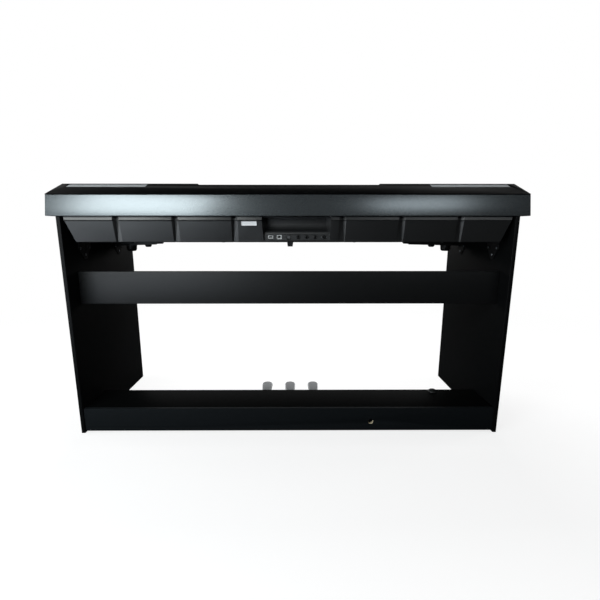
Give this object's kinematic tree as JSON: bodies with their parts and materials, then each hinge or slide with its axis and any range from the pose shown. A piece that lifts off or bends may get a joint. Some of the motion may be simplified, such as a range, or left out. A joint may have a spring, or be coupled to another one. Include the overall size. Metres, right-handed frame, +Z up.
{
  "type": "digital piano",
  "caption": "Digital piano seen from behind: hooded cabinet with full keyboard on two side panels, with a rear brace, a jack recess and a pedal box with chromed pedals.",
  "frame": {"origin": "on the floor, under the middle of the piano's bounding box", "axes": "+X to the player's right, along the keyboard; +Y from the player to the rear; +Z up"},
  "size_m": [1.38, 0.4698, 0.7761],
  "materials": {
    "laminate": "black laminated board, fine grain, satin",
    "zinc_steel": "zinc plated",
    "black_steel": "black powder coat",
    "rear_board": "dark charcoal satin",
    "cheek": "black satin",
    "hood": "black fine matt",
    "grille": "silver grey",
    "speaker": "black paper cone and steel basket",
    "control_panel": "black semi-gloss",
    "display": "dark clear window",
    "case": "dark grey moulded, fine grained",
    "circuit_board": "green solder mask with black and white sockets",
    "chassis": "moulded",
    "chrome": "polished",
    "knob": "grey moulded grip",
    "button": "grey moulded",
    "white_key": "off-white satin gloss",
    "black_key": "black matt"
  },
  "bodies": {
    "piano": {"side_panel_left": "laminate", "side_panel_right": "laminate", "rear_brace": "laminate", "pedal_box_rear": "laminate", "pedal_box_top": "laminate", "pedal_box_front": "laminate", "pedal_carrier": "zinc_steel", "pedal_axle": "zinc_steel", "bracket_front_left": "black_steel", "bracket_front_right": "black_steel", "bracket_rear_left": "black_steel", "bracket_rear_right": "black_steel", "rear_board": "rear_board", "end_cheek_left": "cheek", "end_cheek_right": "cheek", "key_slip": "cheek", "hood": "hood", "speaker_grille_left": "grille", "speaker_grille_right": "grille", "speaker_left": "speaker", "speaker_right": "speaker", "control_panel": "control_panel", "display_window": "display", "lower_case": "case", "main_board": "circuit_board", "key_chassis": "chassis"},
    "pedal_soft": {"pedal_soft": "chrome"},
    "pedal_sostenuto": {"pedal_sostenuto": "chrome"},
    "pedal_sustain": {"pedal_sustain": "chrome"},
    "clamp_knob_left": {"clamp_knob_left": "knob"},
    "clamp_knob_right": {"clamp_knob_right": "knob"},
    "voice_button": {"voice_button": "button"},
    "minus_button": {"minus_button": "button"},
    "plus_button": {"plus_button": "button"},
    "power_button": {"power_button": "button"},
    "volume_knob": {"volume_knob": "button"},
    "lowest_white_keys": {"lowest_white_keys": "white_key"},
    "lowest_black_key": {"lowest_black_key": "black_key"},
    "octave_1_white_keys_CEGB": {"octave_1_white_keys_CEGB": "white_key"},
    "octave_1_white_keys_DFA": {"octave_1_white_keys_DFA": "white_key"},
    "octave_1_black_keys": {"octave_1_black_keys": "black_key"},
    "octave_2_white_keys_CEGB": {"octave_2_white_keys_CEGB": "white_key"},
    "octave_2_white_keys_DFA": {"octave_2_white_keys_DFA": "white_key"},
    "octave_2_black_keys": {"octave_2_black_keys": "black_key"},
    "octave_3_white_keys_CEGB": {"octave_3_white_keys_CEGB": "white_key"},
    "octave_3_white_keys_DFA": {"octave_3_white_keys_DFA": "white_key"},
    "octave_3_black_keys": {"octave_3_black_keys": "black_key"},
    "octave_4_white_keys_CEGB": {"octave_4_white_keys_CEGB": "white_key"},
    "octave_4_white_keys_DFA": {"octave_4_white_keys_DFA": "white_key"},
    "octave_4_black_keys": {"octave_4_black_keys": "black_key"},
    "octave_5_white_keys_CEGB": {"octave_5_white_keys_CEGB": "white_key"},
    "octave_5_white_keys_DFA": {"octave_5_white_keys_DFA": "white_key"},
    "octave_5_black_keys": {"octave_5_black_keys": "black_key"},
    "octave_6_white_keys_CEGB": {"octave_6_white_keys_CEGB": "white_key"},
    "octave_6_white_keys_DFA": {"octave_6_white_keys_DFA": "white_key"},
    "octave_6_black_keys": {"octave_6_black_keys": "black_key"},
    "octave_7_white_keys_CEGB": {"octave_7_white_keys_CEGB": "white_key"},
    "octave_7_white_keys_DFA": {"octave_7_white_keys_DFA": "white_key"},
    "octave_7_black_keys": {"octave_7_black_keys": "black_key"},
    "highest_white_key": {"highest_white_key": "white_key"}
  },
  "joints": [
    {"name": "pedal_soft_press", "type": "hinge", "parent": "piano", "child": "pedal_soft", "pos_m": [-0.0855, 0.1475, 0.053], "axis": [1, 0, 0], "range_deg": [0, 7], "stiffness_Nm_per_rad": 20, "springref_deg": -6.88},
    {"name": "pedal_sostenuto_press", "type": "hinge", "parent": "piano", "child": "pedal_sostenuto", "pos_m": [0, 0.1475, 0.053], "axis": [1, 0, 0], "range_deg": [0, 7], "stiffness_Nm_per_rad": 20, "springref_deg": -6.88},
    {"name": "pedal_sustain_press", "type": "hinge", "parent": "piano", "child": "pedal_sustain", "pos_m": [0.0855, 0.1475, 0.053], "axis": [1, 0, 0], "range_deg": [0, 7], "stiffness_Nm_per_rad": 20, "springref_deg": -6.88},
    {"name": "clamp_knob_left_turn", "type": "hinge", "parent": "piano", "child": "clamp_knob_left", "pos_m": [-0.5903, -0.107, 0.5998], "axis": [0, 0, -1], "range_deg": [0, 360]},
    {"name": "clamp_knob_right_turn", "type": "hinge", "parent": "piano", "child": "clamp_knob_right", "pos_m": [0.5993, -0.107, 0.5998], "axis": [0, 0, -1], "range_deg": [0, 360]},
    {"name": "voice_button_press", "type": "slide", "parent": "piano", "child": "voice_button", "axis": [0, 0.1523, -0.9883], "range_m": [0, 0.0012], "stiffness_N_per_m": 400, "springref_m": -0.001},
    {"name": "minus_button_press", "type": "slide", "parent": "piano", "child": "minus_button", "axis": [0, 0.1523, -0.9883], "range_m": [0, 0.0012], "stiffness_N_per_m": 400, "springref_m": -0.001},
    {"name": "plus_button_press", "type": "slide", "parent": "piano", "child": "plus_button", "axis": [0, 0.1523, -0.9883], "range_m": [0, 0.0012], "stiffness_N_per_m": 400, "springref_m": -0.001},
    {"name": "power_button_press", "type": "slide", "parent": "piano", "child": "power_button", "axis": [0, 0.1523, -0.9883], "range_m": [0, 0.0012], "stiffness_N_per_m": 400, "springref_m": -0.001},
    {"name": "volume_knob_turn", "type": "hinge", "parent": "piano", "child": "volume_knob", "pos_m": [-0.15, 0.02745, 0.76081], "axis": [0, -0.1523, 0.9883], "range_deg": [-140, 140]},
    {"name": "lowest_white_keys_press", "type": "hinge", "parent": "piano", "child": "lowest_white_keys", "pos_m": [0, 0.032, 0.68135], "axis": [1, 0, 0], "range_deg": [0, 2.3], "stiffness_Nm_per_rad": 2, "springref_deg": -6.88},
    {"name": "lowest_black_key_press", "type": "hinge", "parent": "piano", "child": "lowest_black_key", "pos_m": [0, 0.032, 0.68465], "axis": [1, 0, 0], "range_deg": [0, 2.6], "stiffness_Nm_per_rad": 0.8, "springref_deg": -6.88},
    {"name": "octave_1_white_keys_CEGB_press", "type": "hinge", "parent": "piano", "child": "octave_1_white_keys_CEGB", "pos_m": [0, 0.032, 0.68135], "axis": [1, 0, 0], "range_deg": [0, 2.3], "stiffness_Nm_per_rad": 4, "springref_deg": -6.88},
    {"name": "octave_1_white_keys_DFA_press", "type": "hinge", "parent": "piano", "child": "octave_1_white_keys_DFA", "pos_m": [0, 0.032, 0.68465], "axis": [1, 0, 0], "range_deg": [0, 2.3], "stiffness_Nm_per_rad": 3, "springref_deg": -6.88},
    {"name": "octave_1_black_keys_press", "type": "hinge", "parent": "piano", "child": "octave_1_black_keys", "pos_m": [0, 0.032, 0.68795], "axis": [1, 0, 0], "range_deg": [0, 2.6], "stiffness_Nm_per_rad": 4, "springref_deg": -6.88},
    {"name": "octave_2_white_keys_CEGB_press", "type": "hinge", "parent": "piano", "child": "octave_2_white_keys_CEGB", "pos_m": [0, 0.032, 0.68135], "axis": [1, 0, 0], "range_deg": [0, 2.3], "stiffness_Nm_per_rad": 4, "springref_deg": -6.88},
    {"name": "octave_2_white_keys_DFA_press", "type": "hinge", "parent": "piano", "child": "octave_2_white_keys_DFA", "pos_m": [0, 0.032, 0.68465], "axis": [1, 0, 0], "range_deg": [0, 2.3], "stiffness_Nm_per_rad": 3, "springref_deg": -6.88},
    {"name": "octave_2_black_keys_press", "type": "hinge", "parent": "piano", "child": "octave_2_black_keys", "pos_m": [0, 0.032, 0.68795], "axis": [1, 0, 0], "range_deg": [0, 2.6], "stiffness_Nm_per_rad": 4, "springref_deg": -6.88},
    {"name": "octave_3_white_keys_CEGB_press", "type": "hinge", "parent": "piano", "child": "octave_3_white_keys_CEGB", "pos_m": [0, 0.032, 0.68135], "axis": [1, 0, 0], "range_deg": [0, 2.3], "stiffness_Nm_per_rad": 4, "springref_deg": -6.88},
    {"name": "octave_3_white_keys_DFA_press", "type": "hinge", "parent": "piano", "child": "octave_3_white_keys_DFA", "pos_m": [0, 0.032, 0.68465], "axis": [1, 0, 0], "range_deg": [0, 2.3], "stiffness_Nm_per_rad": 3, "springref_deg": -6.88},
    {"name": "octave_3_black_keys_press", "type": "hinge", "parent": "piano", "child": "octave_3_black_keys", "pos_m": [0, 0.032, 0.68795], "axis": [1, 0, 0], "range_deg": [0, 2.6], "stiffness_Nm_per_rad": 4, "springref_deg": -6.88},
    {"name": "octave_4_white_keys_CEGB_press", "type": "hinge", "parent": "piano", "child": "octave_4_white_keys_CEGB", "pos_m": [0, 0.032, 0.68135], "axis": [1, 0, 0], "range_deg": [0, 2.3], "stiffness_Nm_per_rad": 4, "springref_deg": -6.88},
    {"name": "octave_4_white_keys_DFA_press", "type": "hinge", "parent": "piano", "child": "octave_4_white_keys_DFA", "pos_m": [0, 0.032, 0.68465], "axis": [1, 0, 0], "range_deg": [0, 2.3], "stiffness_Nm_per_rad": 3, "springref_deg": -6.88},
    {"name": "octave_4_black_keys_press", "type": "hinge", "parent": "piano", "child": "octave_4_black_keys", "pos_m": [0, 0.032, 0.68795], "axis": [1, 0, 0], "range_deg": [0, 2.6], "stiffness_Nm_per_rad": 4, "springref_deg": -6.88},
    {"name": "octave_5_white_keys_CEGB_press", "type": "hinge", "parent": "piano", "child": "octave_5_white_keys_CEGB", "pos_m": [0, 0.032, 0.68135], "axis": [1, 0, 0], "range_deg": [0, 2.3], "stiffness_Nm_per_rad": 4, "springref_deg": -6.88},
    {"name": "octave_5_white_keys_DFA_press", "type": "hinge", "parent": "piano", "child": "octave_5_white_keys_DFA", "pos_m": [0, 0.032, 0.68465], "axis": [1, 0, 0], "range_deg": [0, 2.3], "stiffness_Nm_per_rad": 3, "springref_deg": -6.88},
    {"name": "octave_5_black_keys_press", "type": "hinge", "parent": "piano", "child": "octave_5_black_keys", "pos_m": [0, 0.032, 0.68795], "axis": [1, 0, 0], "range_deg": [0, 2.6], "stiffness_Nm_per_rad": 4, "springref_deg": -6.88},
    {"name": "octave_6_white_keys_CEGB_press", "type": "hinge", "parent": "piano", "child": "octave_6_white_keys_CEGB", "pos_m": [0, 0.032, 0.68135], "axis": [1, 0, 0], "range_deg": [0, 2.3], "stiffness_Nm_per_rad": 4, "springref_deg": -6.88},
    {"name": "octave_6_white_keys_DFA_press", "type": "hinge", "parent": "piano", "child": "octave_6_white_keys_DFA", "pos_m": [0, 0.032, 0.68465], "axis": [1, 0, 0], "range_deg": [0, 2.3], "stiffness_Nm_per_rad": 3, "springref_deg": -6.88},
    {"name": "octave_6_black_keys_press", "type": "hinge", "parent": "piano", "child": "octave_6_black_keys", "pos_m": [0, 0.032, 0.68795], "axis": [1, 0, 0], "range_deg": [0, 2.6], "stiffness_Nm_per_rad": 4, "springref_deg": -6.88},
    {"name": "octave_7_white_keys_CEGB_press", "type": "hinge", "parent": "piano", "child": "octave_7_white_keys_CEGB", "pos_m": [0, 0.032, 0.68135], "axis": [1, 0, 0], "range_deg": [0, 2.3], "stiffness_Nm_per_rad": 4, "springref_deg": -6.88},
    {"name": "octave_7_white_keys_DFA_press", "type": "hinge", "parent": "piano", "child": "octave_7_white_keys_DFA", "pos_m": [0, 0.032, 0.68465], "axis": [1, 0, 0], "range_deg": [0, 2.3], "stiffness_Nm_per_rad": 3, "springref_deg": -6.88},
    {"name": "octave_7_black_keys_press", "type": "hinge", "parent": "piano", "child": "octave_7_black_keys", "pos_m": [0, 0.032, 0.68795], "axis": [1, 0, 0], "range_deg": [0, 2.6], "stiffness_Nm_per_rad": 4, "springref_deg": -6.88},
    {"name": "highest_white_key_press", "type": "hinge", "parent": "piano", "child": "highest_white_key", "pos_m": [0, 0.032, 0.68135], "axis": [1, 0, 0], "range_deg": [0, 2.3], "stiffness_Nm_per_rad": 1, "springref_deg": -6.88}
  ]
}
